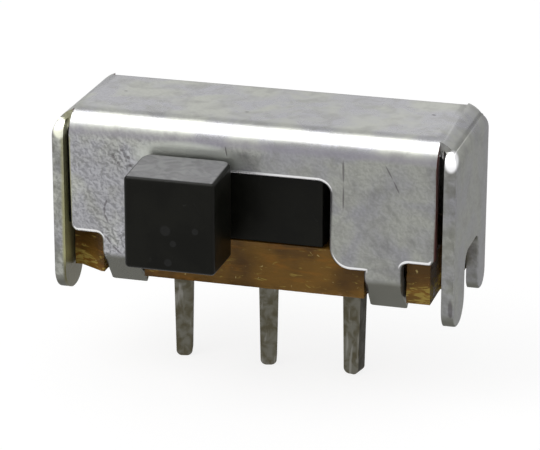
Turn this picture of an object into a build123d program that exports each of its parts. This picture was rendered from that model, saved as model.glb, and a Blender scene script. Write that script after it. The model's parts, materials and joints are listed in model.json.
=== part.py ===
"""Right-angle slide switch with three terminals, in millimetres.

X runs along the travel of the knob, the knob points to -Y, and +Z is up.
The origin is on the middle terminal, at the level of the feet, which stand on
the circuit board. Heights marked "over the board" are counted from the underside
of the base board, and become heights in the frame by adding foot_drop.
"""
import os
from math import cos, radians, sin, tan

from build123d import *

# Cover: one sheet, folded down on all four sides
sheet = 0.35
cover_length = 11.6
cover_depth = 4.45
cover_height = 4.8
bend_radius = 0.8
front_wall_bottom = 1.27
wall_corner_radius = 0.2
end_wall_setback = 0.08
relief_width = 0.2
relief_depth = 0.38
shoulder_radius = 0.56

# Slot in the front wall, open at its bottom
slot_width = 4.56
slot_top = 3.42
slot_corner_radius = 0.35
slot_side_bottom = 0.92
slot_foot_radius = 0.6

# Feet and the notch between them, cut from each end wall
front_foot_width = 1.46
rear_foot_width = 1.0
foot_drop = 0.66
front_tip_radius = 0.68
rear_tip_radius = 0.47
notch_top = 1.17
notch_radius = 0.4

# Crimp tabs that fold in under the base board
tab_spacing = 7.6
tab_width = 1.06
tab_root_radius = 0.2
tab_bend_height = 0.65
tab_bend_angle = 42.0
tab_inner_radius = 0.12
tab_reach = 0.92
tab_tip_radius = 0.08

# Base board of laminate
board_thickness = 1.35
board_clearance = 0.02
board_cut_length = 0.34
board_cut_depth = 1.3
board_ear_length = 0.23
board_bevel_length = 0.7
board_bevel_depth = 0.4
tab_notch_clearance = 0.05

# Terminals, pressed through the board
terminal_pitch = 2.54
row_offset = 0.2
blade_width = 0.56
blade_thickness = 0.42
blade_tip_width = 0.46
blade_drop = 2.92
blade_tip_radius = 0.17
twist_length = 0.4
blade_twists = [14.0, 14.0, -12.0]
head_width = 1.5
head_depth = 1.3
head_corner_radius = 0.2
head_bend_radius = 0.1

# Slider, with its knob
travel = 3.42
slide_clearance = 0.03
end_clearance = 0.02
knob_width = 2.58
knob_reach = 1.95
knob_bottom = 1.1
knob_top = 3.75
knob_top_rise = 0.1
knob_gap = 0.12
knob_edge_radius = 0.12
knob_root_radius = 0.3
neck_clearance = 0.05
slider_skirt_gap = 0.04
pocket_end_clearance = 0.2
pocket_height = 1.55
boss_width = 0.9

# Moving contact, a bowed strip under the slider
contact_thickness = 0.15
contact_width = 1.2
contact_gap = 0.02
contact_bow = 0.95
contact_end_rise = 0.7
contact_crown_width = 1.2
contact_length = 4.5
contact_bend_radius = 0.25
contact_side_clearance = 0.06

# Places that follow from the sizes above
inside_length = cover_length - 2 * sheet
long_wall_width = inside_length - 2 * relief_width
board_under = foot_drop
board_top = board_under + board_thickness
cover_top = board_under + cover_height
roof_under = cover_top - sheet
bend_level = cover_top - bend_radius
front = row_offset - cover_depth / 2
rear = row_offset + cover_depth / 2
head_top = board_top + blade_thickness
row_x = [-terminal_pitch, 0.0, terminal_pitch]
contact_y = (head_depth - blade_thickness) / 2
rest_x = -travel / 2
pocket_length = contact_length + 2 * pocket_end_clearance
tiny = 1e-6


def corners(sketch, across, up):
    """Vertices of a sketch at +across and -across, at the height up."""
    return [v for v in sketch.vertices() if abs(abs(v.X) - across) < tiny and abs(v.Y - up) < tiny]


def between(low_x, high_x, low_y, high_y):
    """Rectangle given by its limits."""
    width = high_x - low_x
    height = high_y - low_y
    return Pos(low_x + width / 2, low_y + height / 2) * Rectangle(width, height)


def block(low, high):
    """Box given by its lowest and highest corners."""
    size = [b - a for a, b in zip(low, high)]
    return Pos(*low) * Box(*size, align=Align.MIN)


def rounded_top(width, low, high, radius):
    """Rectangle about the middle, with its two upper corners rounded."""
    plain = between(-width / 2, width / 2, low, high)
    return fillet(corners(plain, width / 2, high), radius)


def folded_section(width):
    """Section of the sheet where it folds down at both sides, to just below the bends."""
    outside = rounded_top(width, bend_level - sheet, cover_top, bend_radius)
    inside_width = width - 2 * sheet
    inside = rounded_top(inside_width, bend_level - 2 * sheet, roof_under, bend_radius - sheet)
    return outside - inside


def long_wall(has_slot):
    """Outline of the front or the rear wall, seen from the front, with its two tabs."""
    half_wall = long_wall_width / 2
    half_slot = slot_width / 2
    near = (tab_spacing - tab_width) / 2
    far = (tab_spacing + tab_width) / 2
    low = board_under + front_wall_bottom
    ledge_limit = (half_wall - far) / 2 - tiny
    fold = board_under + tab_bend_height + sheet / 2 * tan(radians(tab_bend_angle) / 2)
    fold += (tab_inner_radius + sheet / 2) * tan(radians(tab_bend_angle) / 2)
    outline = between(-half_wall, half_wall, low, bend_level)
    outline = fillet(corners(outline, half_wall, low), min(wall_corner_radius, ledge_limit))
    if has_slot:
        slot_foot = board_under + slot_side_bottom
        outline += between(-near, near, slot_foot, low)
        slot_low = slot_foot - slot_corner_radius
        opening = rounded_top(slot_width, slot_low, board_under + slot_top, slot_corner_radius)
        outline = outline - opening
        foot_radius = min(slot_foot_radius, near - half_slot - tiny)
        outline = fillet(corners(outline, half_slot, slot_foot), foot_radius)
    for side in (-1, 1):
        outline += Pos(side * tab_spacing / 2, 0) * between(-tab_width / 2, tab_width / 2, fold, low)
    roots = corners(outline, near, low) + corners(outline, far, low)
    return fillet(roots, min(tab_root_radius, ledge_limit))


def bent_tab():
    """A front tab from its root to its tip, about x = 0, with the wall's outer face at y = 0."""
    angle = radians(tab_bend_angle)
    middle = sheet / 2
    bend_point = tab_bend_height + middle * tan(angle / 2)
    run = tab_reach / sin(angle) - middle * tan(angle / 2)
    start = (middle, front_wall_bottom)
    turn = (middle, bend_point)
    end = (middle + run * sin(angle), bend_point - run * cos(angle))
    line = FilletPolyline(start, turn, end, radius=tab_inner_radius + middle)
    tab = extrude(Plane.YZ * trace(line, sheet), tab_width / 2, both=True)
    end_face = tab.faces().sort_by(Axis.Y)[-1]
    corner_edges = [e for e in end_face.edges() if abs(e.length - sheet) < tiny]
    return fillet(corner_edges, tab_tip_radius)


def end_wall():
    """Outline of an end wall seen from the right, with its two feet."""
    low = front + end_wall_setback
    high = rear - end_wall_setback
    outline = between(low, high, 0, bend_level)
    notch_front = low + front_foot_width
    notch_rear = high - rear_foot_width
    notch_middle = (notch_front + notch_rear) / 2
    notch_width = notch_rear - notch_front
    notch = rounded_top(notch_width, -notch_radius, board_under + notch_top, notch_radius)
    outline = outline - Pos(notch_middle, 0) * notch
    front_tips = [v for v in outline.vertices() if abs(v.Y) < tiny and v.X < notch_middle]
    outline = fillet(front_tips, min(front_tip_radius, front_foot_width / 2 - tiny))
    rear_tips = [v for v in outline.vertices() if abs(v.Y) < tiny and v.X > notch_middle]
    return fillet(rear_tips, min(rear_tip_radius, rear_foot_width / 2 - tiny))


def relief(side_x, side_y):
    """Narrow slot that parts a long wall from an end wall at one corner."""
    near = long_wall_width / 2
    far = inside_length / 2
    round_end = cover_depth / 2 - relief_depth + relief_width / 2
    slot = between(near, far, round_end, cover_depth / 2 + sheet)
    slot += Pos((near + far) / 2, round_end) * Circle(relief_width / 2)
    cut = extrude(slot, cover_top + sheet)
    if side_x < 0:
        cut = mirror(cut, Plane.YZ)
    if side_y < 0:
        cut = mirror(cut, Plane.XZ)
    return Pos(0, row_offset, 0) * cut


def make_cover():
    """Folded sheet: roof, two long walls with tabs, two end walls with feet."""
    middle = Pos(0, row_offset, 0)
    half_wall = long_wall_width / 2
    half_depth = cover_depth / 2
    roof = middle * extrude(Plane.YZ * folded_section(cover_depth), half_wall, both=True)
    envelope = rounded_top(cover_length, 0, cover_top, bend_radius)
    roof = roof & middle * extrude(Plane.XZ * envelope, half_depth, both=True)
    ends = extrude(Plane.XZ * folded_section(cover_length), half_depth - end_wall_setback, both=True)
    for side in (-1, 1):
        outer = side * half_depth
        inner = side * (half_depth - bend_radius)
        low = (-half_wall, min(outer, inner), 0)
        high = (half_wall, max(outer, inner), cover_top + sheet)
        ends = ends - block(low, high)
    end_width = 2 * (half_depth - end_wall_setback)
    shoulders = rounded_top(end_width, 0, bend_level + shoulder_radius, shoulder_radius)
    shoulders += between(relief_depth - half_depth, half_depth - relief_depth, 0, cover_top)
    ends = ends & extrude(Plane.YZ * shoulders, cover_length, both=True)
    cover = roof + middle * ends
    cover += extrude(Plane.XZ.offset(-front) * long_wall(True), -sheet)
    cover += extrude(Plane.XZ.offset(-rear) * long_wall(False), sheet)
    for side in (-1, 1):
        plane = Plane.YZ.offset(side * (cover_length / 2 - sheet / 2))
        cover += extrude(plane * end_wall(), sheet / 2, both=True)
    tab = bent_tab()
    for side in (-1, 1):
        place = Pos(side * tab_spacing / 2, front, board_under)
        front_tab = place * tab
        cover += front_tab
        cover += mirror(front_tab, Plane.XZ.offset(-row_offset))
    for side_x in (-1, 1):
        for side_y in (-1, 1):
            cover = cover - relief(side_x, side_y)
    return cover


def terminal_at(x, twist):
    """Blade with its head folded flat on the board, twisted below it and tapered to its tip."""
    bend_low = board_top - head_bend_radius
    reach = head_bend_radius + blade_thickness
    twist_end = board_under - twist_length
    straight = Pos(0, 0, board_under) * Rectangle(blade_width, blade_thickness)
    twisted = Pos(0, 0, twist_end) * Rot(0, 0, twist) * Rectangle(blade_width, blade_thickness)
    terminal = extrude(straight, bend_low - board_under) + loft([straight, twisted])
    outline = Polyline(
        (-blade_width / 2, twist_end),
        (-blade_tip_width / 2, board_under - blade_drop),
        (blade_tip_width / 2, board_under - blade_drop),
        (blade_width / 2, twist_end),
        close=True,
    )
    lead = make_face(outline)
    lead = fillet(lead.vertices().group_by(Axis.Y)[0], blade_tip_radius)
    terminal += Rot(0, 0, twist) * extrude(Plane.XZ * lead, blade_thickness / 2, both=True)
    bend_centre = (blade_thickness / 2 + head_bend_radius, bend_low)
    ring = Pos(*bend_centre) * (Circle(reach) - Circle(head_bend_radius))
    quarter = between(bend_centre[0] - reach, bend_centre[0], bend_low, bend_low + reach)
    terminal += extrude(Plane.YZ * (ring & quarter), blade_width / 2, both=True)
    head_start = bend_centre[0]
    head_end = head_depth - blade_thickness / 2
    head = between(-head_width / 2, head_width / 2, head_start, head_end)
    head = fillet(head.vertices(), head_corner_radius)
    terminal += Pos(0, 0, board_top) * extrude(head, blade_thickness)
    return Pos(x, 0, 0) * terminal


def make_board(terminals):
    """Laminate board, the same when turned half round: ears, cuts, tab notches, terminals."""
    half_length = inside_length / 2 - board_clearance
    half_depth = cover_depth / 2 - sheet - board_clearance
    plan = Rectangle(2 * half_length, 2 * half_depth)
    angle = radians(tab_bend_angle)
    tab_inside = sheet * cos(angle) + (tab_bend_height + sheet * sin(angle)) * tan(angle)
    notch_floor = cover_depth / 2 - tab_inside - board_clearance
    notch_width = tab_width + 2 * tab_notch_clearance
    outside_x = half_length + sheet
    outside_y = half_depth + sheet
    ear_x = half_length - board_ear_length
    ear_y = half_depth - board_bevel_depth
    eared = make_face(Polyline(
        (outside_x, ear_y),
        (ear_x, ear_y),
        (ear_x - board_bevel_length, half_depth),
        (outside_x, half_depth),
        close=True,
    ))
    plain = between(half_length - board_cut_length, outside_x, half_depth - board_cut_depth, outside_y)
    notch = between(-notch_width / 2, notch_width / 2, notch_floor, outside_y)
    notch = Pos(tab_spacing / 2, 0) * notch
    for half_turn in (0, 180):
        plan = plan - Rot(0, 0, half_turn) * eared
        plan = plan - Rot(0, 0, half_turn) * mirror(plain, Plane.XZ)
        plan = plan - Rot(0, 0, half_turn) * notch
        plan = plan - Rot(0, 0, half_turn) * mirror(notch, Plane.XZ)
    board = Pos(0, row_offset, board_under) * extrude(plan, board_thickness)
    for terminal in terminals:
        board = board - terminal
    return board


def make_slider():
    """Moulding: hollow body inside the cover, neck through the slot, knob outside."""
    body_length = inside_length - travel - 2 * end_clearance
    body_front = front + sheet + slide_clearance
    body_rear = rear - sheet - slide_clearance
    body_low = board_top + slider_skirt_gap
    body_high = roof_under - slide_clearance
    edge = bend_radius - sheet
    body = block((-body_length / 2, body_front, body_low), (body_length / 2, body_rear, body_high))
    body = chamfer(body.faces().sort_by(Axis.Z)[-1].edges(), edge)
    pocket_half = contact_width / 2 + contact_side_clearance
    pocket_low = (-pocket_length / 2, contact_y - pocket_half, 0)
    pocket_high = (pocket_length / 2, contact_y + pocket_half, head_top + pocket_height)
    body = body - block(pocket_low, pocket_high)
    crown = head_top + contact_gap + contact_bow + contact_thickness
    boss_low = (-boss_width / 2, contact_y - pocket_half, crown)
    boss_high = (boss_width / 2, contact_y + pocket_half, head_top + pocket_height)
    body += block(boss_low, boss_high)
    channel_front = -blade_thickness / 2 - head_bend_radius
    channel_rear = head_depth - blade_thickness / 2 + head_bend_radius
    channel_low = (-body_length, channel_front, 0)
    channel_high = (body_length, channel_rear, head_top + slider_skirt_gap)
    body = body - block(channel_low, channel_high)
    neck_width = slot_width - travel - 2 * neck_clearance
    neck_top = board_under + slot_top - neck_clearance
    neck_section = between(-neck_width / 2, neck_width / 2, body_low, neck_top)
    neck_corner = min(slot_corner_radius, neck_width / 2 - neck_clearance)
    neck_section = fillet(corners(neck_section, neck_width / 2, neck_top), neck_corner)
    neck_length = knob_gap + sheet + slide_clearance
    neck = extrude(Plane.XZ.offset(-body_front) * neck_section, neck_length)
    knob_side = make_face(Polyline(
        (front - knob_gap, board_under + knob_bottom),
        (front - knob_reach, board_under + knob_bottom),
        (front - knob_reach, board_under + knob_top),
        (front - knob_gap, board_under + knob_top + knob_top_rise),
        close=True,
    ))
    knob = extrude(Plane.YZ * knob_side, knob_width / 2, both=True)
    knob = fillet(knob.edges().filter_by(Axis.Z).sort_by(Axis.Y)[-2:], knob_root_radius)
    knob = fillet(knob.edges().filter_by(lambda edge: edge.length > knob_root_radius), knob_edge_radius)
    slider = body + neck + knob
    return Pos(rest_x, 0, 0) * slider


def make_contact():
    """Bowed strip: two feet on neighbouring heads, crown against the slider's boss."""
    half = contact_thickness / 2
    foot = head_top + contact_gap + half
    crown = foot + contact_bow
    points = [
        (-contact_length / 2, foot + contact_end_rise),
        (-terminal_pitch / 2, foot),
        (-contact_crown_width / 2, crown),
        (contact_crown_width / 2, crown),
        (terminal_pitch / 2, foot),
        (contact_length / 2, foot + contact_end_rise),
    ]
    line = FilletPolyline(*points, radius=contact_bend_radius)
    strip = extrude(Plane.XZ * trace(line, contact_thickness), contact_width / 2, both=True)
    return Pos(rest_x, contact_y, 0) * strip


terminals = [terminal_at(x, twist) for x, twist in zip(row_x, blade_twists)]
nodes = {
    "cover": make_cover(),
    "base_board": make_board(terminals),
    "terminal_left": terminals[0],
    "terminal_middle": terminals[1],
    "terminal_right": terminals[2],
    "slider": make_slider(),
    "moving_contact": make_contact(),
}

os.makedirs("parts", exist_ok=True)
for name, solid in nodes.items():
    export_step(solid, f"parts/{name}.step")
    box = solid.bounding_box()
    print(f"{name}: {box.size.X:.2f} x {box.size.Y:.2f} x {box.size.Z:.2f} mm")
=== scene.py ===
# %% [markdown]
# # Dressing a small slide switch
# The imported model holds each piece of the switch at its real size: a folded cover of
# tin-plated steel, a board of brown laminate, three terminals, the black slider with
# its knob, and the contact strip under it. This lesson gives those pieces their
# finish, and builds the camera and the light of a close-up photograph around them.
# The scene counts in metres, and the switch is 12 mm long, so sizes are written in
# millimetres and multiplied by one value, `mm`.

import json
import math
from types import SimpleNamespace

import bpy
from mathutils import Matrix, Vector
from mathutils.bvhtree import BVHTree

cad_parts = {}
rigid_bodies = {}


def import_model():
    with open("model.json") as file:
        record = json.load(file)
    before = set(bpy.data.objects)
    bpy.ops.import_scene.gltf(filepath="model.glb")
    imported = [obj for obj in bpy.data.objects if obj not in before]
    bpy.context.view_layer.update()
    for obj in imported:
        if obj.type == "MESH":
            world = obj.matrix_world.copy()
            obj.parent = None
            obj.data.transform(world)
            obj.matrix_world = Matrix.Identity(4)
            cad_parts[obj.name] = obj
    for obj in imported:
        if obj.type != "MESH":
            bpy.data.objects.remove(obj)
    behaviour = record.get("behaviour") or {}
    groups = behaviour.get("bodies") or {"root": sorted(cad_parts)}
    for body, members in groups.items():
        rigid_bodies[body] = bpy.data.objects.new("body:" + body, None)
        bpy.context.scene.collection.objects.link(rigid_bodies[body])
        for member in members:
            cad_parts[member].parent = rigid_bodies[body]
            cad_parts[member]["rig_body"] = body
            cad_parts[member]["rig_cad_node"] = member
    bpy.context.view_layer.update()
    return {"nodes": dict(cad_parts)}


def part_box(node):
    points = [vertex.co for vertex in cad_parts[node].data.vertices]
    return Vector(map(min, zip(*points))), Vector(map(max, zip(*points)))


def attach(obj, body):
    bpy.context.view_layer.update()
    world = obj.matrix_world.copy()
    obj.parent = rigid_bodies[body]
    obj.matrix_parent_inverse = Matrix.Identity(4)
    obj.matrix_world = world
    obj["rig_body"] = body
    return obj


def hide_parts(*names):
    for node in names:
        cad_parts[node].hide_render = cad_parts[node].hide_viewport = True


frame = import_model()
mm = 0.001
cover_low, cover_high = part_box("cover")
cover_middle = (cover_low + cover_high) / 2
terminal_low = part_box("terminal_middle")[0]
print("nodes:", ", ".join(sorted(frame["nodes"])))
print("cover, mm:", [round(side / mm, 2) for side in cover_high - cover_low])

# %% [markdown]
# ## The camera
# A close-up lens looks at the switch from a little to the right and a little above.
# The camera stands on a line through the point it aims at, so two angles and one
# distance place it. The distance sets the perspective, how fast the far end shrinks,
# and the focal length then sets how large the switch is in the picture.

# %% Camera
view_turn = math.radians(15.856)
view_rise = math.radians(19.711)
view_roll = math.radians(0.145)
view_distance = 79.72 * mm
aim = Vector((-0.031, 0.192, 1.874)) * mm
picture_width = 540
focal_pixels = 2799.6
sensor_width = 36.0
nearest_seen = 1 * mm
furthest_seen = 10.0


def direction_to(turn, rise):
    """The way to a place at a turn from the front, to the right, and a rise over the floor."""
    return Vector((
        math.sin(turn) * math.cos(rise),
        -math.cos(turn) * math.cos(rise),
        math.sin(rise),
    ))


towards_camera = direction_to(view_turn, view_rise)
bpy.ops.object.camera_add(location=aim + view_distance * towards_camera)
camera = bpy.context.object
camera.rotation_euler = towards_camera.to_track_quat("Z", "Y").to_euler()
camera.rotation_euler.rotate_axis("Z", view_roll)
camera.data.sensor_width = sensor_width
camera.data.lens = focal_pixels / picture_width * sensor_width
camera.data.clip_start = nearest_seen
camera.data.clip_end = furthest_seen
bpy.context.scene.camera = camera
bpy.context.scene.view_settings.view_transform = "Standard"
print("camera at, mm:", [round(value / mm, 1) for value in camera.location])
print("lens, mm:", round(camera.data.lens, 1))

# %% [markdown]
# ## Making nodes with few words
# Every finish below is a node material: patterns of noise decide the colour, the gloss
# and the small relief at each point. A node takes one line when a helper makes it and
# fills its inputs, either with a value or with a link from another node. The patterns
# read the object's own coordinates, turned into millimetres, so that a number in a
# finish is a real size on the metal.

# %% Node helpers
def add_node(tree, kind, inputs=None, **settings):
    """A new node. Each input is a value or another node's output."""
    made = tree.nodes.new("ShaderNode" + kind)
    for name, value in settings.items():
        setattr(made, name, value)
    for name, value in (inputs or {}).items():
        if isinstance(value, bpy.types.NodeSocket):
            tree.links.new(value, made.inputs[name])
        else:
            made.inputs[name].default_value = value
    return made


def start_material(name):
    """A new material, its node tree, its shader, and the object's coordinates in millimetres."""
    material = bpy.data.materials.new(name)
    material.use_nodes = True
    tree = material.node_tree
    coordinates = add_node(tree, "TexCoord")
    per_metre = (1 / mm, 1 / mm, 1 / mm)
    scaled = add_node(tree, "Mapping", {"Vector": coordinates.outputs["Object"], "Scale": per_metre})
    return material, tree, tree.nodes["Principled BSDF"], scaled.outputs["Vector"]


def finish_shader(tree, shader, colour, roughness, normal):
    """Gives a shader its colour, its gloss and its relief."""
    for name, value in (("Base Color", colour), ("Roughness", roughness), ("Normal", normal)):
        tree.links.new(value, shader.inputs[name])


def grey(level):
    """A neutral colour."""
    return (level, level, level, 1.0)


print("nodes can be made")

# %% [markdown]
# A pattern is built from a few small steps: noise gives clouds, a ramp turns them into
# patches with soft ends, and sums join one pattern to another. Each step gets a helper
# with a plain name, so that a finish reads like its own description.

# %% Pattern helpers
def noise(tree, where, per_mm, detail=2.0, stretch=(1, 1, 1), twist=0.0):
    """Cloudy values around 0.5, with about per_mm features in a millimetre."""
    placed = add_node(tree, "Mapping", {"Vector": where, "Scale": stretch}).outputs["Vector"]
    inputs = {"Vector": placed, "Scale": per_mm, "Detail": detail, "Distortion": twist}
    return add_node(tree, "TexNoise", inputs).outputs[0]


def ramp(tree, value, low, high, out_low=0.0, out_high=1.0):
    """A smooth step: out_low where value is under low, out_high where it is over high."""
    inputs = {"Value": value, "From Min": low, "From Max": high, "To Min": out_low, "To Max": out_high}
    return add_node(tree, "MapRange", inputs, interpolation_type="SMOOTHSTEP").outputs["Result"]


def fade(tree, value, low, high, full=1.0):
    """A smooth step down: full where value is under low, 0 where it is over high."""
    return ramp(tree, value, low, high, full, 0.0)


def maths(tree, operation, first, second=0.0):
    """One sum on two values."""
    return add_node(tree, "Math", {0: first, 1: second}, operation=operation).outputs[0]


def joined(tree, operation, values):
    """One sum on several values, from the first to the last."""
    result = values[0]
    for value in values[1:]:
        result = maths(tree, operation, result, value)
    return result


def product(tree, *values):
    """All the values multiplied."""
    return joined(tree, "MULTIPLY", values)


def total(tree, *values):
    """All the values added."""
    return joined(tree, "ADD", values)


def highest(tree, *values):
    """The highest of the values."""
    return joined(tree, "MAXIMUM", values)


def magnitude(tree, value):
    """The value without its sign."""
    return maths(tree, "ABSOLUTE", value)


def blend(tree, share, first, second, way="MIX"):
    """The first colour, going over to the second as share goes from 0 to 1."""
    made = add_node(tree, "Mix", {0: share, 6: first, 7: second}, data_type="RGBA", blend_type=way)
    return made.outputs[2]


def relief(tree, height, depth_mm, below=None):
    """A bump of depth_mm, laid over another bump if one is given."""
    inputs = {"Height": height, "Distance": depth_mm * mm, "Strength": 1.0}
    if below:
        inputs["Normal"] = below
    return add_node(tree, "Bump", inputs).outputs["Normal"]


def facing(tree, axis):
    """How far the surface faces along one axis, from -1 to 1."""
    normal = add_node(tree, "NewGeometry").outputs["Normal"]
    return add_node(tree, "SeparateXYZ", {0: normal}).outputs[axis]


print("patterns can be made")

# %% [markdown]
# ## Floor, background and light
# The photograph shows the switch on pure white. A white floor alone would need so much
# light that the metal burned out, so what the camera sees straight, in a mirror or
# through glass is lifted to white by a little glow of its own, and the rest is a plain
# pale floor that keeps the shadow. The sky does the same. The light itself stays at the
# level at which a grey card looks grey.

# %% Floor
floor_size = 4.0
floor_bounce = 0.8
floor_glow = 0.82
floor_shade = 0.28


def seen_directly(tree):
    """1 for rays from the camera, a mirror or glass, and 0 for the rest."""
    path = add_node(tree, "LightPath").outputs
    return highest(tree, path["Is Camera Ray"], path["Is Glossy Ray"], path["Is Transmission Ray"])


def floor_material():
    """Matte and pale, with a glow for what sees it directly."""
    material, tree, shader, where = start_material("white_floor")
    matte = add_node(tree, "BsdfDiffuse", {"Color": grey(floor_bounce)}).outputs[0]
    shaded = add_node(tree, "BsdfDiffuse", {"Color": grey(floor_shade)}).outputs[0]
    glow = add_node(tree, "Emission", {"Color": grey(1.0), "Strength": floor_glow}).outputs[0]
    white = add_node(tree, "AddShader", {0: shaded, 1: glow}).outputs[0]
    mixed = add_node(tree, "MixShader", {0: seen_directly(tree), 1: matte, 2: white}).outputs[0]
    tree.links.new(mixed, tree.nodes["Material Output"].inputs["Surface"])
    tree.nodes.remove(shader)
    return material


bpy.ops.mesh.primitive_plane_add(size=floor_size, location=(0, 0, terminal_low.z))
floor = bpy.context.object
floor.name = "floor"
floor.data.materials.append(floor_material())
print("floor at, mm:", round(terminal_low.z / mm, 2))

# %% [markdown]
# The sky and one large lamp at the front left light every surface softly. Metal lives
# by what it mirrors, so two more lamps show only in gloss: a wide one overhead draws
# the bright line along the front bend, and one low at the back is mirrored by the top.

# %% World and lamps
sky_level = 0.55
lamp_reach = 220 * mm


def light_sky():
    """White where it is seen directly, and an even pale dome as a light."""
    world = bpy.data.worlds.new("studio")
    world.use_nodes = True
    tree = world.node_tree
    dome = tree.nodes["Background"]
    dome.inputs["Strength"].default_value = sky_level
    dome.inputs["Color"].default_value = grey(1.0)
    white = add_node(tree, "Background", {"Color": grey(1.0), "Strength": 1.0}).outputs[0]
    inputs = {0: seen_directly(tree), 1: dome.outputs[0], 2: white}
    mixed = add_node(tree, "MixShader", inputs).outputs[0]
    tree.links.new(mixed, tree.nodes["World Output"].inputs["Surface"])
    bpy.context.scene.world = world


def soft_box(name, turn, rise, width, depth, level):
    """A lamp that faces the switch from a turn and a rise in degrees, with its sides in mm."""
    direction = direction_to(math.radians(turn), math.radians(rise))
    bpy.ops.object.light_add(type="AREA", location=lamp_reach * direction)
    lamp = bpy.context.object
    lamp.name = name
    lamp.rotation_euler = direction.to_track_quat("Z", "Y").to_euler()
    lamp.data.shape = "RECTANGLE"
    lamp.data.size = width * mm
    lamp.data.size_y = depth * mm
    lamp.data.energy = level * math.pi * lamp.data.size * lamp.data.size_y
    return lamp


light_sky()
key_lamp = soft_box("key_lamp", turn=-55, rise=50, width=160, depth=160, level=1.6)
shine_lamp = soft_box("shine_lamp", turn=0, rise=80, width=400, depth=210, level=4.0)
back_lamp = soft_box("back_lamp", turn=195.9, rise=20, width=170, depth=80, level=0.75)
for lamp in (shine_lamp, back_lamp):
    lamp.visible_diffuse = False
print("lamps:", key_lamp.name, shine_lamp.name, back_lamp.name)

# %% [markdown]
# ## From solid to piece
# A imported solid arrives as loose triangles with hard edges. A copy of it is joined into
# one surface, and its flat triangles into whole faces, so that an edge can be rounded
# and light can run smoothly round a bend. The copy then stands for the solid.

# %% Copies that can be worked on
same_point = 0.0005 * mm
same_plane = math.radians(0.4)
flat_face_weight = 50
edge_steps = 2


def only(piece):
    """Selects one object, and nothing else."""
    bpy.ops.object.select_all(action="DESELECT")
    piece.select_set(True)
    bpy.context.view_layer.objects.active = piece


def working_copy(node, name):
    """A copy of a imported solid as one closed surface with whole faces."""
    only(frame["nodes"][node])
    bpy.ops.object.duplicate()
    piece = bpy.context.object
    piece.name = name
    piece.parent = None
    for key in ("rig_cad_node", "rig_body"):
        del piece[key]
    piece.data.materials.clear()
    bpy.ops.object.mode_set(mode="EDIT")
    bpy.ops.mesh.select_all(action="SELECT")
    bpy.ops.mesh.remove_doubles(threshold=same_point)
    bpy.ops.mesh.dissolve_limited(angle_limit=same_plane)
    bpy.ops.object.mode_set(mode="OBJECT")
    print(name, "has", len(piece.data.polygons), "faces")
    return piece


def apply_modifier(piece, kind, **settings):
    """Adds a modifier with its settings, and applies it."""
    modifier = piece.modifiers.new(kind.lower(), kind)
    for name, value in settings.items():
        setattr(modifier, name, value)
    only(piece)
    bpy.ops.object.modifier_apply(modifier=modifier.name)


def smooth(piece, sharp_from=40):
    """Smooth light over gentle bends, with hard edges from an angle, and flat faces kept flat."""
    mesh = piece.data
    mesh.shade_smooth()
    normals_at = {}
    for face in mesh.polygons:
        for edge in face.edge_keys:
            normals_at.setdefault(edge, []).append(face.normal)
    for edge in mesh.edges:
        first, last = normals_at[edge.key][0], normals_at[edge.key][-1]
        edge.use_edge_sharp = first.angle(last, 0.0) > math.radians(sharp_from)
    apply_modifier(piece, "WEIGHTED_NORMAL", keep_sharp=True, weight=flat_face_weight)


def dress(piece, material, body, node):
    """Gives a piece its finish and its place in the switch."""
    piece.data.materials.append(material)
    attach(piece, body)
    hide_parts(node)


# %% [markdown]
# ## The folded cover
# The cover was punched from thin sheet and then folded. A punch drags the edge of the
# sheet down on the side where it enters, so every outer edge is softly rolled while
# the inner edge stays sharp. A Bevel modifier can do just that, if it is told which
# edges to take. A ray sent through a face finds them: on the skin of the sheet it comes
# out after one thickness, and on a cut face it runs on much further.

# %% Find the skin and the cut faces
sheet = 0.35 * mm
sheet_margin = 0.05 * mm


def largest_triangles(mesh):
    """For each face, the middle of its largest triangle, which always lies on the face."""
    mesh.calc_loop_triangles()
    largest = {}
    for triangle in mesh.loop_triangles:
        known = largest.get(triangle.polygon_index)
        if known is None or triangle.area > known.area:
            largest[triangle.polygon_index] = triangle
    middles = []
    for index in range(len(mesh.polygons)):
        points = [mesh.vertices[corner].co for corner in largest[index].vertices]
        middles.append(sum(points, Vector()) / 3)
    return middles


def sort_faces(mesh):
    """Calls each face of the sheet outer, inner or cut."""
    points = [vertex.co for vertex in mesh.vertices]
    solid = BVHTree.FromPolygons(points, [list(face.vertices) for face in mesh.polygons])
    kinds = []
    for face, middle in zip(mesh.polygons, largest_triangles(mesh)):
        start = middle - face.normal * sheet_margin
        reach = solid.ray_cast(start, -face.normal)[3] or 0.0
        if abs(reach + sheet_margin - sheet) > sheet_margin:
            kinds.append("cut")
        elif face.normal.dot(middle - cover_middle) > 0:
            kinds.append("outer")
        else:
            kinds.append("inner")
    return kinds


cover = working_copy("cover", "folded_cover")
face_kinds = sort_faces(cover.data)
for kind in ("outer", "inner", "cut"):
    print(kind, "faces:", face_kinds.count(kind))

# %% [markdown]
# The long walls get the full roll, and the end walls one half as wide. Two kinds of
# edge are left square, because a roll has no room there: the small tips of the tabs,
# and the four corners of the roof, where two bends and a notch meet. The shoulders of
# the end walls, outside those corners, are rolled again. Each edge gets its share of
# the width as a bevel weight.

# %% Mark the edges to roll
end_share = 0.5
end_side = 5.4 * mm
tab_tip_top = cover_low.z + 0.5 * mm
tab_tip_side = 4.6 * mm
bend_low = cover_high.z - 0.81 * mm
corner_side = 5.05 * mm
shoulder_side = 5.65 * mm
shoulder_top = cover_high.z - 0.38 * mm


def can_roll(middle):
    """False at the small tips of the tabs and in the four corners of the roof."""
    on_tab_tip = middle.z < tab_tip_top and abs(middle.x) < tab_tip_side
    on_shoulder = abs(middle.x) > shoulder_side and middle.z < shoulder_top
    in_corner = middle.z > bend_low and abs(middle.x) > corner_side and not on_shoulder
    return not on_tab_tip and not in_corner


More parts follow.
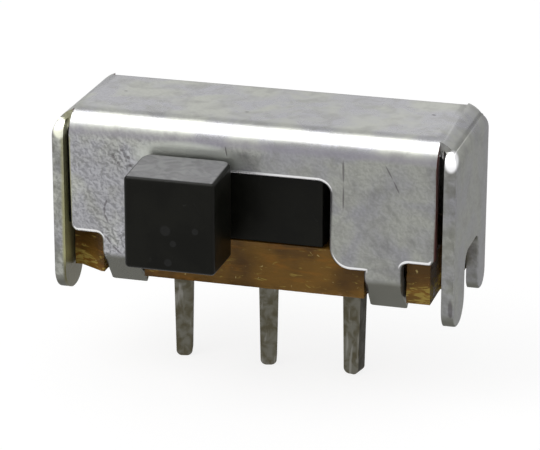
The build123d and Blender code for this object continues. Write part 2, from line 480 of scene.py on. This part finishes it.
def mark_rolled_edges(mesh, kinds):
    """Marks each edge between the outer skin and a cut face, where it can be rolled."""
    kinds_at = {}
    for face, kind in zip(mesh.polygons, kinds):
        for edge in face.edge_keys:
            kinds_at.setdefault(edge, set()).add(kind)
    weights = mesh.attributes.new("bevel_weight_edge", "FLOAT", "EDGE")
    marked = 0
    for edge in mesh.edges:
        low, high = (mesh.vertices[end].co for end in edge.vertices)
        middle = (low + high) / 2
        if kinds_at[edge.key] == {"outer", "cut"} and can_roll(middle):
            weights.data[edge.index].value = end_share if abs(middle.x) > end_side else 1.0
            marked += 1
    return marked


def note_cut_faces(mesh, kinds):
    """Notes the cut faces in the mesh, for the finish."""
    cut = mesh.attributes.new("cut_face", "FLOAT", "FACE")
    for index, kind in enumerate(kinds):
        cut.data[index].value = float(kind == "cut")


print("edges to roll:", mark_rolled_edges(cover.data, face_kinds))
note_cut_faces(cover.data, face_kinds)

# %% [markdown]
# The finish has to know the rolled faces from the rest. The bevel can give its new
# faces a material slot, so the cover gets two empty slots for a moment. The slot is
# then read into an attribute, and both slots are cleared again.

# %% Roll the outer edges
roll_width = 0.13 * mm
roll_steps = 4
rolled_slot = 1

while len(cover.data.materials) <= rolled_slot:
    cover.data.materials.append(None)
apply_modifier(
    cover, "BEVEL", limit_method="WEIGHT", width=roll_width, segments=roll_steps,
    use_clamp_overlap=False, material=rolled_slot,
)
rolled = cover.data.attributes.new("rolled_edge", "FLOAT", "FACE")
rolled_count = 0
for face in cover.data.polygons:
    is_rolled = face.material_index == rolled_slot
    rolled.data[face.index].value = float(is_rolled)
    rolled_count += is_rolled
    face.material_index = 0
cover.data.materials.clear()
smooth(cover)
print("rolled faces:", rolled_count, "of", len(cover.data.polygons))

# %% [markdown]
# ## Tin-plated steel
# The plating is dull silver, and no two parts of it are quite alike. Wide blotches of
# warmer and cooler grey come from the bath, fine slanting bumps from the rolled sheet,
# and short dark marks from handling. The rolled edges get painted highlights and painted
# shade, and the cut faces show bare steel, darker and mottled. The marks come first. Each
# is a short line, found by its distance from a point, measured with a scale of its own
# along each axis.

# %% Marks of handling
front_y = cover_low.y / mm
top_z = cover_high.z / mm
end_setback = 0.08
end_y = front_y + end_setback
stroke_core = 0.5
strokes = [
    ((2.655, front_y, 4.84), (2.678, front_y, 4.07), 0.035),
    ((2.678, front_y, 4.07), (2.673, front_y, 3.29), 0.03),
    ((-4.148, front_y, 2.97), (-4.226, front_y, 2.78), 0.04),
    ((-4.226, front_y, 2.78), (-4.23, front_y, 2.54), 0.04),
    ((-4.23, front_y, 2.54), (-4.13, front_y, 2.31), 0.04),
    ((-3.95, front_y, 4.28), (-3.93, front_y, 4.26), 0.06),
    ((-3.71, front_y, 4.48), (-3.69, front_y, 4.47), 0.05),
    ((-3.51, front_y, 4.29), (-3.49, front_y, 4.27), 0.06),
    ((-3.80, front_y, 4.09), (-3.77, front_y, 4.08), 0.05),
    ((-3.45, front_y, 4.07), (-3.44, front_y, 4.04), 0.05),
    ((-0.72, front_y, 4.99), (-0.635, front_y, 4.53), 0.03),
    ((3.83, front_y, 4.75), (4.06, front_y, 4.34), 0.025),
    ((4.06, front_y, 4.34), (4.26, front_y, 3.93), 0.025),
    ((-4.23, front_y, 1.92), (-4.02, front_y, 1.64), 0.035),
    ((-4.02, front_y, 1.64), (-3.73, front_y, 1.37), 0.035),
    ((5.70, end_y, 1.0), (5.72, end_y, 0.36), 0.08),
    ((-0.48, -0.66, top_z), (-0.44, -0.65, top_z), 0.05),
    ((-4.35, 0.29, top_z), (-4.31, 0.30, top_z), 0.05),
    ((4.57, 0.54, top_z), (4.61, 0.53, top_z), 0.06),
]


def distance(tree, where, middle, reach, turn=(0.0, 0.0, 0.0)):
    """How far a place is from a point, as a share of the reach along each axis."""
    inputs = {"Vector": where, "Location": middle, "Rotation": turn, "Scale": reach}
    placed = add_node(tree, "Mapping", inputs, vector_type="TEXTURE").outputs["Vector"]
    return add_node(tree, "VectorMath", {0: placed}, operation="LENGTH").outputs["Value"]


def stroke(tree, where, start, end, width):
    """1 on a short line from start to end, 0 away from it, all in millimetres."""
    start = Vector(start)
    end = Vector(end)
    span = end - start
    turn = span.to_track_quat("X", "Z").to_euler()
    reach = (span.length / 2 + width, width, width)
    return fade(tree, distance(tree, where, (start + end) / 2, reach, turn), stroke_core, 1.0)


def handling_marks(tree, where):
    """1 on every mark of the cover."""
    return highest(tree, *[stroke(tree, where, *line) for line in strokes])


print("marks on the cover:", len(strokes))

# %% [markdown]
# The bumps of the sheet get painted light on one side and painted shade on the other. To
# know the side, the same noise is read twice, a hair to one side and a hair to the
# other, and the two readings are subtracted: that is the slope of the bumps at that
# place. The other patterns are soft spots, bands between two values, and the faces
# that were noted earlier.

# %% Patterns on the steel
bump_lean = math.radians(-38)
slope_step = 0.02
slope_limit = 0.22
spot_core = 0.7
spot_rim = 1.1


def named_value(tree, name):
    """A value that was stored on the faces."""
    return add_node(tree, "Attribute", attribute_name=name, attribute_type="GEOMETRY").outputs["Fac"]


def within(tree, value, low, high, soft):
    """1 where a value is between low and high, with soft ends."""
    over = ramp(tree, value, low - soft, low + soft)
    return product(tree, over, fade(tree, value, high - soft, high + soft))


def spot(tree, where, middle, reach):
    """1 at a point, falling softly to 0 at a reach along each axis, all in millimetres."""
    return fade(tree, distance(tree, where, middle, reach), spot_core, spot_rim)


def slanting_bumps(tree, where, shift=0.0):
    """Fine bumps that lean to the left, read a little to one side by a shift in mm."""
    moved = add_node(tree, "Mapping", {"Vector": where, "Location": (shift, shift, shift)}).outputs[0]
    leaning = add_node(tree, "Mapping", {"Vector": moved, "Rotation": (0, bump_lean, 0)}).outputs[0]
    return noise(tree, leaning, per_mm=8.0, detail=4.0, stretch=(1.0, 1.0, 1.25), twist=0.6)


def bump_light_side(tree, where):
    """Painted light on one side of the bumps and painted shade on the other: about 0, from -1 to 1."""
    ahead = slanting_bumps(tree, where, slope_step)
    behind = slanting_bumps(tree, where, -slope_step)
    slope = maths(tree, "SUBTRACT", ahead, behind)
    return ramp(tree, slope, -slope_limit, slope_limit, -1.0, 1.0)


def read_steel(tree, where):
    """What the finish asks at each point: its place, the way it faces, and the noted faces."""
    place = add_node(tree, "SeparateXYZ", {0: where}).outputs
    return SimpleNamespace(
        where=where,
        x=place["X"],
        y=place["Y"],
        z=place["Z"],
        aside=magnitude(tree, place["X"]),
        sideways=facing(tree, "X"),
        forward=facing(tree, "Y"),
        upward=facing(tree, "Z"),
        bare=named_value(tree, "cut_face"),
        rolled=named_value(tree, "rolled_edge"),
    )


print("patterns on the steel are ready")

# %% [markdown]
# The finish is laid on in layers: two greys of plating with duller clouds, then painted
# light and shade on its bumps and along the cover, then painted shade on the end walls,
# underneath and under the front bend, mottled bare steel on the cut faces and a painted
# lighter patch above the knob, then painted light on the inner side of the left end wall
# and brown in the gap, and last painted highlights and shade on the rolled edges, and the
# marks of handling.

# %% Plating and bumps
steel_cool = (0.285, 0.285, 0.30, 1.0)
steel_warm = (0.335, 0.34, 0.312, 1.0)
steel_dull = (0.225, 0.225, 0.215, 1.0)
scraped_share = 0.6
bump_light_share = 0.3
scraped_places = [
    ((-3.9, front_y, 1.6), (0.7, 0.5, 0.7)),
    ((-3.6, front_y, 4.25), (0.5, 0.5, 0.3)),
]


def plating_colour(tree, where, blotches):
    """Two greys in blotches, with duller clouds."""
    clouds = noise(tree, where, per_mm=1.9, detail=4.0, twist=0.6)
    colour = blend(tree, ramp(tree, blotches, 0.38, 0.62), steel_cool, steel_warm)
    return blend(tree, ramp(tree, clouds, 0.45, 0.7, out_high=0.6), colour, steel_dull)


def bump_strength(tree, point, upright):
    """Strong at the left of the front wall and where it is scraped, and weak elsewhere."""
    strength = product(tree, ramp(tree, point.x, -4.0, 1.5, 1.0, 0.3), upright)
    scraped = [spot(tree, point.where, middle, reach) for middle, reach in scraped_places]
    return total(tree, strength, product(tree, highest(tree, *scraped), scraped_share))


def shaded(tree, point, colour, strength, upright):
    """The colour with painted light and shade: on the two sides of its bumps, lighter at the left of
    the upright walls and darker at their right, and lighter on top, most at the right.
    """
    # Painted light on one side of each bump and painted shade on the other.
    bump_light = product(tree, bump_light_side(tree, point.where), strength, bump_light_share)
    # Painted light: upright walls lighter at the left and darker at the right, and the top lighter,
    # most of all at the right.
    painted_light_along_walls = product(tree, ramp(tree, point.x, -5.0, 5.0, 0.2, -0.1), upright)
    painted_light_on_top = ramp(tree, point.x, 0.0, 5.0, 0.08, 0.22)
    painted_light_on_top = product(tree, ramp(tree, point.upward, 0.3, 0.9), painted_light_on_top)
    shade = total(tree, bump_light, total(tree, painted_light_along_walls, painted_light_on_top), 1.0)
    shade = add_node(tree, "CombineXYZ", {axis: shade for axis in range(3)}).outputs[0]
    return blend(tree, 1.0, colour, shade, way="MULTIPLY")


print("greys of the plating are ready")

# %% Painted shade and light, cut faces, and the gap
# The lavender is painted shade, the bare grey is bare steel and painted shade, and the pale grey is
# painted light.
steel_painted_shade = (0.25, 0.235, 0.28, 1.0)
steel_bare_and_shade = (0.13, 0.13, 0.11, 1.0)
steel_painted_light = (0.56, 0.58, 0.53, 1.0)
# Painted light on the inner side of the left end wall: olive, and paler near the front.
painted_light_olive = (0.13, 0.12, 0.055, 1.0)
painted_light_pale = (0.42, 0.41, 0.20, 1.0)
gap_brown = (0.15, 0.065, 0.055, 1.0)
# Where a lighter patch is painted on the front wall above the knob.
lighter_patch_middle = (-1.8, front_y, 4.42)
lighter_patch_reach = (1.7, 0.5, 0.48)
lighter_patch_share = 0.8
notch_width = 0.2
inner_side = (cover_high.x - sheet) / mm
wall_end = inner_side - notch_width


def painted_shade_light_and_cuts(tree, point, colour):
    """Painted shade on the end walls, underneath and under the front bend, mottled bare steel on cut
    faces, and a painted lighter patch above the knob.
    """
    # Painted shade on the end walls and on faces that look down.
    shade_on_end_walls = ramp(tree, magnitude(tree, point.sideways), 0.75, 0.95, out_high=0.2)
    shade_underneath = fade(tree, point.upward, -0.62, -0.1, full=0.95)
    colour = blend(tree, highest(tree, shade_on_end_walls, shade_underneath), colour, steel_bare_and_shade)
    mottled = ramp(tree, noise(tree, point.where, per_mm=3.0, detail=5.0), 0.35, 0.7, 0.1, 0.65)
    colour = blend(tree, product(tree, point.bare, mottled), colour, steel_bare_and_shade)
    # Painted lavender shade on the lower part of the front bend.
    under_bend = within(tree, point.upward, 0.2, 0.42, 0.12)
    under_bend = product(tree, under_bend, fade(tree, point.forward, -0.5, -0.2, full=0.5))
    colour = blend(tree, under_bend, colour, steel_painted_shade)
    # A painted lighter patch on the front wall above the knob.
    lighter_patch = product(tree, spot(tree, point.where, lighter_patch_middle, lighter_patch_reach), lighter_patch_share)
    return blend(tree, lighter_patch, colour, steel_painted_light)


def painted_inner_light_share(tree, point):
    """1 on the inner side and the inner edge of the left end wall, where light is painted."""
    inner_edge = fade(tree, point.aside, inner_side + 0.01, inner_side + 0.13)
    inner_edge = product(tree, inner_edge, point.bare)
    inner_wall = within(tree, point.aside, inner_side - 0.02, inner_side + 0.02, 0.01)
    inner_wall = product(tree, inner_wall, ramp(tree, point.sideways, 0.5, 0.9))
    at_left = fade(tree, point.x, -1.0, 1.0)
    inner_light = product(tree, highest(tree, inner_edge, inner_wall), at_left)
    return product(tree, inner_light, ramp(tree, point.z, 1.0, 5.0, 1.0, 0.5))


def painted_inner_light_and_gap(tree, point, colour):
    """Painted light on the inner side of the left end wall, paler near the front, and brown on the cut
    side of the gap, with the share they cover.
    """
    inner_light = painted_inner_light_share(tree, point)
    # Painted light, paler near the front of the gap.
    lit_near_front = fade(tree, point.y, front_y + 0.275, front_y + 0.725)
    lit_near_front = product(tree, lit_near_front, ramp(tree, point.z, 0.7, 1.2))
    colour = blend(tree, inner_light, colour, blend(tree, lit_near_front, painted_light_olive, painted_light_pale))
    gap_side = within(tree, point.aside, wall_end - 0.03, wall_end + 0.03, 0.02)
    gap_side = product(tree, gap_side, point.bare, ramp(tree, point.sideways, 0.5, 0.9))
    return blend(tree, gap_side, colour, gap_brown), highest(tree, inner_light, gap_side)


print("inner side of the end walls, mm:", round(inner_side, 2))

# %% Painted highlights and shade on the edges
# Colours of the painted highlights.
steel_painted_highlight = (0.88, 0.88, 0.89, 1.0)
steel_painted_highlight_gilt = (0.88, 0.89, 0.74, 1.0)
right_shoulder = (5.63, end_y, 4.95)
right_shoulder_reach = (0.2, 0.6, 0.31)
left_shoulder = (-5.56, end_y, 4.9)
left_shoulder_reach = (0.21, 0.6, 0.31)
lip_from = 1.5
lip_full = 1.6


def painted_edge_highlights(tree, point, colour):
    """Painted highlights on the lower lips of the long walls and on the shoulders, and painted
    lavender shade under a lip and on edges that face left.
    """
    # Painted highlights on the lower lips of the long walls.
    on_wall = fade(tree, point.aside, wall_end - 0.05, wall_end + 0.1)
    on_wall = product(tree, point.rolled, on_wall, ramp(tree, point.z, lip_from, lip_full))
    level_edge = fade(tree, magnitude(tree, point.sideways), 0.25, 0.5)
    lip_highlight = product(tree, within(tree, point.upward, -0.8, -0.1, 0.06), level_edge, on_wall)
    # Painted lavender shade under a lip and on rolled edges that face left.
    under_lip = product(tree, point.rolled, fade(tree, point.upward, -0.9, -0.75))
    left_lip = product(tree, point.rolled, fade(tree, point.sideways, -0.9, -0.4, full=0.35))
    colour = blend(tree, highest(tree, under_lip, left_lip), colour, steel_painted_shade)
    # Painted highlights on both shoulders, white at the right and yellowish at the left.
    right = spot(tree, point.where, right_shoulder, right_shoulder_reach)
    colour = blend(tree, highest(tree, lip_highlight, right), colour, steel_painted_highlight)
    left = spot(tree, point.where, left_shoulder, left_shoulder_reach)
    return blend(tree, left, colour, steel_painted_highlight_gilt)


print("rubbed edges are ready")

# %% Tinned steel
steel_mark = (0.08, 0.07, 0.075, 1.0)
glancing_tint = (0.55, 0.55, 0.55, 1.0)
mark_share = 0.6
bump_depth = 0.009
grain_depth = 0.0006
mark_depth = 0.006
metal_clean = 0.85
metal_matte_drop = 0.7


def steel_roughness(tree, point, blotches, level):
    """Dull silver: rougher on upright walls, and rougher still on the cut faces."""
    cloudy = ramp(tree, blotches, 0.3, 0.7, 0.25, 0.33)
    on_walls = fade(tree, level, 0.1, 0.5, full=0.07)
    return total(tree, cloudy, on_walls, product(tree, point.bare, 0.1))


def steel_relief(tree, where, strength, marks):
    """Slanting bumps, a fine grain over them, and the marks pressed in."""
    bumps = relief(tree, product(tree, slanting_bumps(tree, where), strength), bump_depth)
    grain = relief(tree, noise(tree, where, per_mm=30.0, detail=3.0), grain_depth, below=bumps)
    return relief(tree, product(tree, marks, -1.0), mark_depth, below=grain)


def tinned_steel():
    """Dull silver plating with blotches, bumps, marks and bare cut faces, and with painted light,
    shade and highlights.
    """
    material, tree, shader, where = start_material("tinned_steel")
    point = read_steel(tree, where)
    level = magnitude(tree, point.upward)
    upright = ramp(tree, level, 0.1, 0.55, 1.0, 0.2)
    blotches = noise(tree, where, per_mm=0.75, detail=4.0, twist=0.4)
    strength = bump_strength(tree, point, upright)
    colour = plating_colour(tree, where, blotches)
    colour = shaded(tree, point, colour, strength, upright)
    colour = painted_shade_light_and_cuts(tree, point, colour)
    colour, matte_share = painted_inner_light_and_gap(tree, point, colour)
    colour = painted_edge_highlights(tree, point, colour)
    marks = handling_marks(tree, where)
    colour = blend(tree, product(tree, marks, mark_share), colour, steel_mark)
    metal = maths(tree, "SUBTRACT", metal_clean, product(tree, matte_share, metal_matte_drop))
    tree.links.new(metal, shader.inputs["Metallic"])
    shader.inputs["Specular Tint"].default_value = glancing_tint
    roughness = steel_roughness(tree, point, blotches, level)
    finish_shader(tree, shader, colour, roughness, steel_relief(tree, where, strength, marks))
    return material


dress(cover, tinned_steel(), "housing", "cover")
print("the cover is dressed")

# %% [markdown]
# ## The laminate board
# The board is brown paper laminate. Its flats are smooth, but a punch tears its edges
# into layers and fibres. A copy is cut by a fine grid of planes, so that it has points
# to move, and a cloudy texture then pushes the torn edges in by up to a twentieth of a
# millimetre.

# %% Board with torn edges
board_edge = 0.03 * mm
grid_step = 0.11 * mm
tear_depth = 0.05 * mm
tear_size = 0.16 * mm
tear_detail = 3
flat_share = 0.12
torn_sharp_from = 50


def cut_by_planes(piece, axis, step):
    """Adds an edge across the piece at every step along one axis."""
    low = min(vertex.co[axis] for vertex in piece.data.vertices)
    high = max(vertex.co[axis] for vertex in piece.data.vertices)
    normal = Vector([float(index == axis) for index in range(3)])
    only(piece)
    bpy.ops.object.mode_set(mode="EDIT")
    count = round((high - low) / step)
    for index in range(1, count):
        bpy.ops.mesh.select_all(action="SELECT")
        place = normal * (low + (high - low) * index / count)
        bpy.ops.mesh.bisect(plane_co=place, plane_no=normal)
    bpy.ops.object.mode_set(mode="OBJECT")


def torn_share(vertex):
    """How far a point of the board may move, by the way its surface faces."""
    return max(flat_share, 1.0 - abs(vertex.normal.z))


board = working_copy("base_board", "laminate_board")
apply_modifier(board, "BEVEL", limit_method="ANGLE", width=board_edge, segments=edge_steps)
for axis in range(3):
    cut_by_planes(board, axis, grid_step)
apply_modifier(board, "TRIANGULATE")
torn = board.vertex_groups.new(name="torn")
for vertex in board.data.vertices:
    torn.add([vertex.index], torn_share(vertex), "REPLACE")
tearing = bpy.data.textures.new("tearing", "CLOUDS")
tearing.noise_scale = tear_size
tearing.noise_depth = tear_detail
apply_modifier(
    board, "DISPLACE", texture=tearing, texture_coords="LOCAL", strength=-tear_depth,
    mid_level=0.0, vertex_group="torn",
)
smooth(board, sharp_from=torn_sharp_from)
print("board has", len(board.data.polygons), "faces")

# %% [markdown]
# The resin is dark brown with layers of orange. Near the ends of the board, low on its
# edges, the punch has pulled out fibres, so yellow frays are likelier there. A few pale
# specks lie anywhere on the edges. Neither shows on the flats, which are still sealed.
# Higher up near the ends, shade is painted in dark resin.

# %% Laminate
resin_dark_and_shade = (0.085, 0.040, 0.006, 1.0)
resin_brown = (0.20, 0.100, 0.014, 1.0)
resin_orange = (0.32, 0.13, 0.012, 1.0)
fibre_pale = (0.50, 0.38, 0.14, 1.0)
fibre_yellow = (0.38, 0.27, 0.06, 1.0)
end_from = 3.9
end_full = 4.9
low_full = 0.95
low_until = 1.5
painted_shade_share = 0.8
fray_at_ends = 0.18


def torn_places(tree, where):
    """How near a place is to the ends of the board, and how low it is."""
    place = add_node(tree, "SeparateXYZ", {0: where}).outputs
    at_end = ramp(tree, magnitude(tree, place["X"]), end_from, end_full)
    return at_end, fade(tree, place["Z"], low_full, low_until)


def laminate():
    """Brown resin in layers, with painted shade high up near the ends, and pale fibres torn out low at
    the ends.
    """
    material, tree, shader, where = start_material("laminate")
    on_edge = fade(tree, magnitude(tree, facing(tree, "Z")), 0.3, 0.8)
    at_end, low_down = torn_places(tree, where)
    layers = noise(tree, where, per_mm=1.0, detail=4.0, stretch=(1, 1, 5), twist=0.5)
    patches = noise(tree, where, per_mm=0.8, detail=3.0)
    fibres = noise(tree, where, per_mm=5.0, detail=6.0, stretch=(0.6, 0.6, 2.0), twist=0.8)
    specks = noise(tree, where, per_mm=7.0, detail=2.0, twist=0.8)
    colour = blend(tree, ramp(tree, patches, 0.35, 0.65), resin_dark_and_shade, resin_brown)
    colour = blend(tree, ramp(tree, layers, 0.5, 0.75, out_high=0.55), colour, resin_orange)
    # Painted shade high up near the ends of the board.
    painted_shade_top = product(tree, maths(tree, "SUBTRACT", 1.0, low_down), at_end, painted_shade_share)
    colour = blend(tree, painted_shade_top, colour, resin_dark_and_shade)
    likely = product(tree, at_end, low_down, fray_at_ends)
    frayed = product(tree, ramp(tree, total(tree, fibres, likely), 0.61, 0.74), on_edge)
    colour = blend(tree, frayed, colour, fibre_yellow)
    loose = product(tree, ramp(tree, specks, 0.7, 0.76), on_edge)
    colour = blend(tree, loose, colour, fibre_pale)
    rough = relief(tree, fibres, depth_mm=0.03, below=relief(tree, layers, depth_mm=0.02))
    shader.inputs["Specular IOR Level"].default_value = 0.2
    finish_shader(tree, shader, colour, ramp(tree, frayed, 0.0, 1.0, 0.45, 0.8), rough)
    return material


dress(board, laminate(), "housing", "base_board")
print("the board is dressed")

# %% [markdown]
# ## The terminals
# The three terminals are one stamping, used three times. Their plating is thin and has
# dulled to a grey-brown. Each edge gets a small round, because a stamped strip is
# tumbled before it is plated.

# %% Terminals
blade_edge = 0.035 * mm
plating_grey = (0.145, 0.14, 0.115, 1.0)
plating_brown = (0.095, 0.085, 0.055, 1.0)
plating_bright = (0.27, 0.265, 0.24, 1.0)
# The darkest plating colour is painted shade.
plating_painted_shade = (0.03, 0.028, 0.02, 1.0)


def dull_plating():
    """Dulled tin over brass, mottled grey and brown, brighter in streaks, with painted shade on the
    side that faces right.
    """
    material, tree, shader, where = start_material("terminal_plating")
    mottle = noise(tree, where, per_mm=3.2, detail=5.0, twist=0.5)
    streaks = noise(tree, where, per_mm=2.6, detail=3.0, stretch=(2.4, 2.4, 0.35))
    fine = noise(tree, where, per_mm=14.0, detail=3.0)
    colour = blend(tree, ramp(tree, mottle, 0.36, 0.62), plating_brown, plating_grey)
    colour = blend(tree, ramp(tree, streaks, 0.56, 0.68, out_high=0.7), colour, plating_bright)
    # Painted shade on the side that faces right.
    painted_shade_right = ramp(tree, facing(tree, "X"), 0.8, 0.95, out_high=0.9)
    colour = blend(tree, painted_shade_right, colour, plating_painted_shade)
    grain = relief(tree, fine, depth_mm=0.004, below=relief(tree, mottle, depth_mm=0.015))
    shader.inputs["Metallic"].default_value = 0.8
    shader.inputs["Specular Tint"].default_value = glancing_tint
    finish_shader(tree, shader, colour, ramp(tree, mottle, 0.3, 0.7, 0.55, 0.38), grain)
    return material


plating = dull_plating()
for side in ("left", "middle", "right"):
    terminal = working_copy("terminal_" + side, "blade_" + side)
    apply_modifier(terminal, "BEVEL", limit_method="ANGLE", width=blade_edge, segments=edge_steps)
    smooth(terminal)
    dress(terminal, plating, "housing", "terminal_" + side)
print("terminals are dressed")

# %% [markdown]
# ## The slider and its knob
# The slider is one black moulding. Its knob has softly rounded edges from the mould, a
# satin skin, specks of pale dust, a painted pale reflection on top, and a few faint
# lighter spots on its front. The bevel takes only the edges that are sharper than the
# moulding's own rounds.

# %% Slider
moulded_edge = 0.03 * mm
sharper_than = math.radians(50)
plastic_black = (0.0045, 0.0045, 0.0030, 1.0)
plastic_grey = (0.0080, 0.0080, 0.0058, 1.0)
dust_pale = (0.040, 0.040, 0.037, 1.0)
# The pale grey of a painted reflection on top of the knob.
painted_top_reflection = (0.31, 0.31, 0.315, 1.0)
front_spot_grey = (0.017, 0.017, 0.016, 1.0)
knob_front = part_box("slider")[0].y / mm
front_spots = [(-1.81, 2.96, 0.16), (-1.74, 2.04, 0.12), (-1.59, 2.60, 0.10), (-0.96, 3.01, 0.10)]


def black_plastic():
    """Satin black, with cloudy gloss, specks of dust, faint lighter spots, and a painted pale
    reflection on top.
    """
    material, tree, shader, where = start_material("black_plastic")
    clouds = noise(tree, where, per_mm=0.9, detail=3.0, twist=0.4)
    grain = noise(tree, where, per_mm=22.0, detail=3.0)
    dust = noise(tree, where, per_mm=2.2, detail=4.0, twist=1.2)
    colour = blend(tree, ramp(tree, clouds, 0.35, 0.65), plastic_black, plastic_grey)
    colour = blend(tree, ramp(tree, dust, 0.68, 0.8, out_high=0.6), colour, dust_pale)
    # Faint lighter spots on the front of the knob.
    for across, up, reach in front_spots:
        place = spot(tree, where, (across, knob_front, up), (reach, reach, reach))
        colour = blend(tree, place, colour, front_spot_grey)
    # A painted pale reflection on top of the knob, patchy with the dust.
    on_top = ramp(tree, facing(tree, "Z"), 0.86, 0.995)
    top_reflection = product(tree, on_top, ramp(tree, dust, 0.35, 0.65, 0.72, 1.0))
    colour = blend(tree, top_reflection, colour, painted_top_reflection)
    shader.inputs["Specular IOR Level"].default_value = 0.1
    skin = relief(tree, grain, depth_mm=0.002)
    finish_shader(tree, shader, colour, ramp(tree, clouds, 0.35, 0.7, 0.30, 0.45), skin)
    return material


slider = working_copy("slider", "slider_with_knob")
apply_modifier(
    slider, "BEVEL", limit_method="ANGLE", angle_limit=sharper_than,
    width=moulded_edge, segments=edge_steps,
)
smooth(slider)
dress(slider, black_plastic(), "slide_knob", "slider")
print("slider has", len(slider.data.polygons), "faces")

# %% [markdown]
# ## The moving contact
# Under the slider a bowed strip of bronze joins two terminals at a time. It is hidden
# in the finished switch, but it gets its own finish, for when the cover is hidden.

# %% Moving contact
strip_edge = 0.02 * mm
bronze_bright = (0.62, 0.38, 0.19, 1.0)
bronze_dull = (0.40, 0.22, 0.10, 1.0)


def rolled_bronze():
    """Bright rolled strip, with fine lines along it and a few dull clouds."""
    material, tree, shader, where = start_material("contact_bronze")
    lines = noise(tree, where, per_mm=9.0, detail=3.0, stretch=(0.12, 1.5, 1.5))
    clouds = noise(tree, where, per_mm=1.6, detail=3.0)
    colour = blend(tree, ramp(tree, clouds, 0.4, 0.7), bronze_bright, bronze_dull)
    shader.inputs["Metallic"].default_value = 1.0
    rolled_lines = relief(tree, lines, depth_mm=0.003)
    finish_shader(tree, shader, colour, ramp(tree, lines, 0.3, 0.7, 0.18, 0.34), rolled_lines)
    return material


contact = working_copy("moving_contact", "contact_strip")
apply_modifier(contact, "BEVEL", limit_method="ANGLE", width=strip_edge, segments=edge_steps)
smooth(contact)
dress(contact, rolled_bronze(), "slide_knob", "moving_contact")
print("the contact is dressed")
